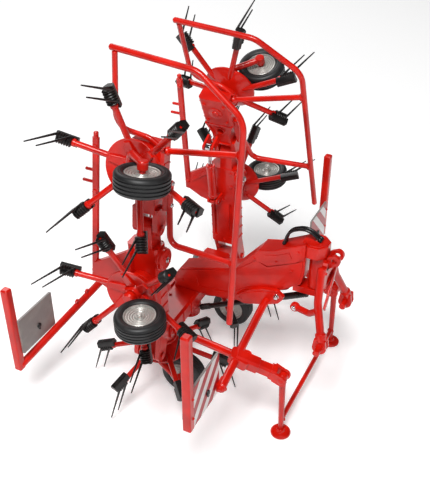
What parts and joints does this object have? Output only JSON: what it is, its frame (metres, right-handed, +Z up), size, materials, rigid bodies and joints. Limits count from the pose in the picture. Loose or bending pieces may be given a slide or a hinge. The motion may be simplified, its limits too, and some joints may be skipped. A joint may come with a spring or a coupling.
{
  "type": "scale model hay tedder",
  "caption": "Scale model of a tractor-mounted hay tedder with rows of tined rotors, its hinged wings folded up for transport, standing on small wheels and a parking stand.",
  "frame": {"origin": "on the floor under the middle of the part, folded as stored", "axes": "+Z up, -Y the way the machine is driven, +X to its left"},
  "size_m": [0.1168, 0.0956, 0.1242],
  "materials": {
    "red_paint": "glossy orange-red paint on die-cast metal",
    "black_plastic": "satin black moulded plastic",
    "tyre_rubber": "matt black soft plastic with ribs round the tread",
    "silver_rim": "silver painted plastic",
    "warning_board": "white board with red diagonal stripes and a grey back",
    "black_hose": "glossy black moulded plastic",
    "bright_rod": "plated rod"
  },
  "bodies": {
    "frame": {"centre_beam": "red_paint", "centre_wheel_legs": "red_paint", "drive_shaft": "black_hose", "front_bar_left": "red_paint", "front_bar_right": "red_paint", "front_board_left": "warning_board", "front_board_right": "warning_board", "front_carrier": "red_paint", "hose_left": "black_hose", "hose_right": "black_hose", "pole": "red_paint", "rear_board_left": "warning_board", "rear_board_right": "warning_board", "rear_carrier": "red_paint"},
    "headstock": {"headstock_frame": "red_paint"},
    "stand": {"stand_legs": "red_paint"},
    "wing_right": {"inner_beam_right": "red_paint", "rear_strut_right": "red_paint", "wheel_leg_inner_right": "red_paint"},
    "outer_right": {"outer_beam_right": "red_paint", "guard_right": "red_paint", "wheel_leg_outer_right": "red_paint"},
    "barrel_right": {"cylinder_barrel_right": "red_paint"},
    "rod_right": {"cylinder_rod_right": "bright_rod"},
    "wing_left": {"inner_beam_left": "red_paint", "rear_strut_left": "red_paint", "wheel_leg_inner_left": "red_paint"},
    "outer_left": {"outer_beam_left": "red_paint", "guard_left": "red_paint", "wheel_leg_outer_left": "red_paint"},
    "barrel_left": {"cylinder_barrel_left": "red_paint"},
    "rod_left": {"cylinder_rod_left": "bright_rod"},
    "rotor_centre_right": {"rotor_centre_right": "red_paint", "tines_centre_right": "black_plastic"},
    "wheel_centre_right": {"tyre_centre_right": "tyre_rubber", "rim_centre_right": "silver_rim"},
    "rotor_centre_left": {"rotor_centre_left": "red_paint", "tines_centre_left": "black_plastic"},
    "wheel_centre_left": {"tyre_centre_left": "tyre_rubber", "rim_centre_left": "silver_rim"},
    "rotor_inner_right": {"rotor_inner_right": "red_paint", "tines_inner_right": "black_plastic"},
    "wheel_inner_right": {"tyre_inner_right": "tyre_rubber", "rim_inner_right": "silver_rim"},
    "rotor_inner_left": {"rotor_inner_left": "red_paint", "tines_inner_left": "black_plastic"},
    "wheel_inner_left": {"tyre_inner_left": "tyre_rubber", "rim_inner_left": "silver_rim"},
    "rotor_outer_right": {"rotor_outer_right": "red_paint", "tines_outer_right": "black_plastic"},
    "wheel_outer_right": {"tyre_outer_right": "tyre_rubber", "rim_outer_right": "silver_rim"},
    "rotor_outer_left": {"rotor_outer_left": "red_paint", "tines_outer_left": "black_plastic"},
    "wheel_outer_left": {"tyre_outer_left": "tyre_rubber", "rim_outer_left": "silver_rim"}
  },
  "joints": [
    {"name": "headstock_swivel", "type": "hinge", "parent": "frame", "child": "headstock", "pos_m": [0, -0.038, 0.05], "axis": [0, 0, 1], "range_deg": [-15, 15]},
    {"name": "stand_fold", "type": "hinge", "parent": "frame", "child": "stand", "pos_m": [0, -0.0378, 0.0246], "axis": [-1, 0, 0], "range_deg": [0, 85]},
    {"name": "wing_fold_right", "type": "hinge", "parent": "frame", "child": "wing_right", "pos_m": [-0.0315, 0.0063, 0.0236], "axis": [0, -1, 0], "range_deg": [0, 88.3]},
    {"name": "outer_fold_right", "type": "hinge", "parent": "wing_right", "child": "outer_right", "pos_m": [-0.03014, 0.0063, 0.07226], "axis": [0, -1, 0], "range_deg": [0, 11.5]},
    {"name": "cylinder_tilt_right", "type": "hinge", "parent": "wing_right", "child": "barrel_right", "pos_m": [-0.02329, 0.0083, 0.05386], "axis": [0, -1, 0], "range_deg": [0, 2.91]},
    {"name": "cylinder_stroke_right", "type": "slide", "parent": "barrel_right", "child": "rod_right", "axis": [0.0133, 0, 0.9999], "range_m": [0, 0.00133]},
    {"name": "wing_fold_left", "type": "hinge", "parent": "frame", "child": "wing_left", "pos_m": [0.0315, 0.0063, 0.0236], "axis": [0, 1, 0], "range_deg": [0, 94.5]},
    {"name": "outer_fold_left", "type": "hinge", "parent": "wing_left", "child": "outer_left", "pos_m": [0.0249, 0.0063, 0.07183], "axis": [0, 1, 0], "range_deg": [0, 20.3]},
    {"name": "cylinder_tilt_left", "type": "hinge", "parent": "wing_left", "child": "barrel_left", "pos_m": [0.02007, 0.0083, 0.05279], "axis": [0, 1, 0], "range_deg": [0, 4.9]},
    {"name": "cylinder_stroke_left", "type": "slide", "parent": "barrel_left", "child": "rod_left", "axis": [-0.1556, 0, 0.9878], "range_m": [0, 0.00247]},
    {"name": "rotor_spin_centre_right", "type": "hinge", "parent": "frame", "child": "rotor_centre_right", "pos_m": [-0.0203, 0.008, 0.0131], "axis": [0, 0, 1], "continuous": true},
    {"name": "rotor_spin_centre_left", "type": "hinge", "parent": "frame", "child": "rotor_centre_left", "pos_m": [0.0203, 0.008, 0.0131], "axis": [0, 0, 1], "continuous": true},
    {"name": "rotor_spin_inner_right", "type": "hinge", "parent": "wing_right", "child": "rotor_inner_right", "pos_m": [-0.04286, 0.0063, 0.05228], "axis": [0.9996, 0, 0.0297], "continuous": true},
    {"name": "rotor_spin_inner_left", "type": "hinge", "parent": "wing_left", "child": "rotor_inner_left", "pos_m": [0.03969, 0.0063, 0.05333], "axis": [-0.9969, 0, -0.0785], "continuous": true},
    {"name": "rotor_spin_outer_right", "type": "hinge", "parent": "outer_right", "child": "rotor_outer_right", "pos_m": [-0.03979, 0.0048, 0.09453], "axis": [0.9854, 0, -0.1702], "continuous": true},
    {"name": "rotor_spin_outer_left", "type": "hinge", "parent": "outer_left", "child": "rotor_outer_left", "pos_m": [0.02845, 0.0048, 0.09584], "axis": [-0.9078, 0, -0.4195], "continuous": true},
    {"name": "wheel_spin_centre_right", "type": "hinge", "parent": "frame", "child": "wheel_centre_right", "pos_m": [-0.0203, 0, 0.0076], "axis": [-1, 0, 0], "continuous": true},
    {"name": "wheel_spin_centre_left", "type": "hinge", "parent": "frame", "child": "wheel_centre_left", "pos_m": [0.0203, 0, 0.0076], "axis": [1, 0, 0], "continuous": true},
    {"name": "wheel_spin_inner_right", "type": "hinge", "parent": "wing_right", "child": "wheel_inner_right", "pos_m": [-0.04834, -0.0017, 0.05171], "axis": [-0.0297, 0, 0.9996], "continuous": true},
    {"name": "wheel_spin_inner_left", "type": "hinge", "parent": "wing_left", "child": "wheel_inner_left", "pos_m": [0.04521, -0.0017, 0.05337], "axis": [-0.0785, 0, 0.9969], "continuous": true},
    {"name": "wheel_spin_outer_right", "type": "hinge", "parent": "outer_right", "child": "wheel_outer_right", "pos_m": [-0.04501, -0.0032, 0.09665], "axis": [0.1702, 0, 0.9854], "continuous": true},
    {"name": "wheel_spin_outer_left", "type": "hinge", "parent": "outer_left", "child": "wheel_outer_left", "pos_m": [0.03294, -0.0032, 0.09923], "axis": [-0.4195, 0, 0.9078], "continuous": true}
  ],
  "couplings": [
    {"joint": "cylinder_tilt_right", "follows": "outer_fold_right", "ratio": 0.25292},
    {"joint": "cylinder_stroke_right", "follows": "outer_fold_right", "m_per_rad": 0.006626},
    {"joint": "cylinder_tilt_left", "follows": "outer_fold_left", "ratio": 0.24133},
    {"joint": "cylinder_stroke_left", "follows": "outer_fold_left", "m_per_rad": 0.0069651},
    {"joint": "rotor_spin_centre_left", "follows": "rotor_spin_centre_right", "ratio": -1},
    {"joint": "rotor_spin_inner_right", "follows": "rotor_spin_centre_right", "ratio": -1},
    {"joint": "rotor_spin_inner_left", "follows": "rotor_spin_centre_right", "ratio": 1},
    {"joint": "rotor_spin_outer_right", "follows": "rotor_spin_centre_right", "ratio": 1},
    {"joint": "rotor_spin_outer_left", "follows": "rotor_spin_centre_right", "ratio": -1}
  ]
}
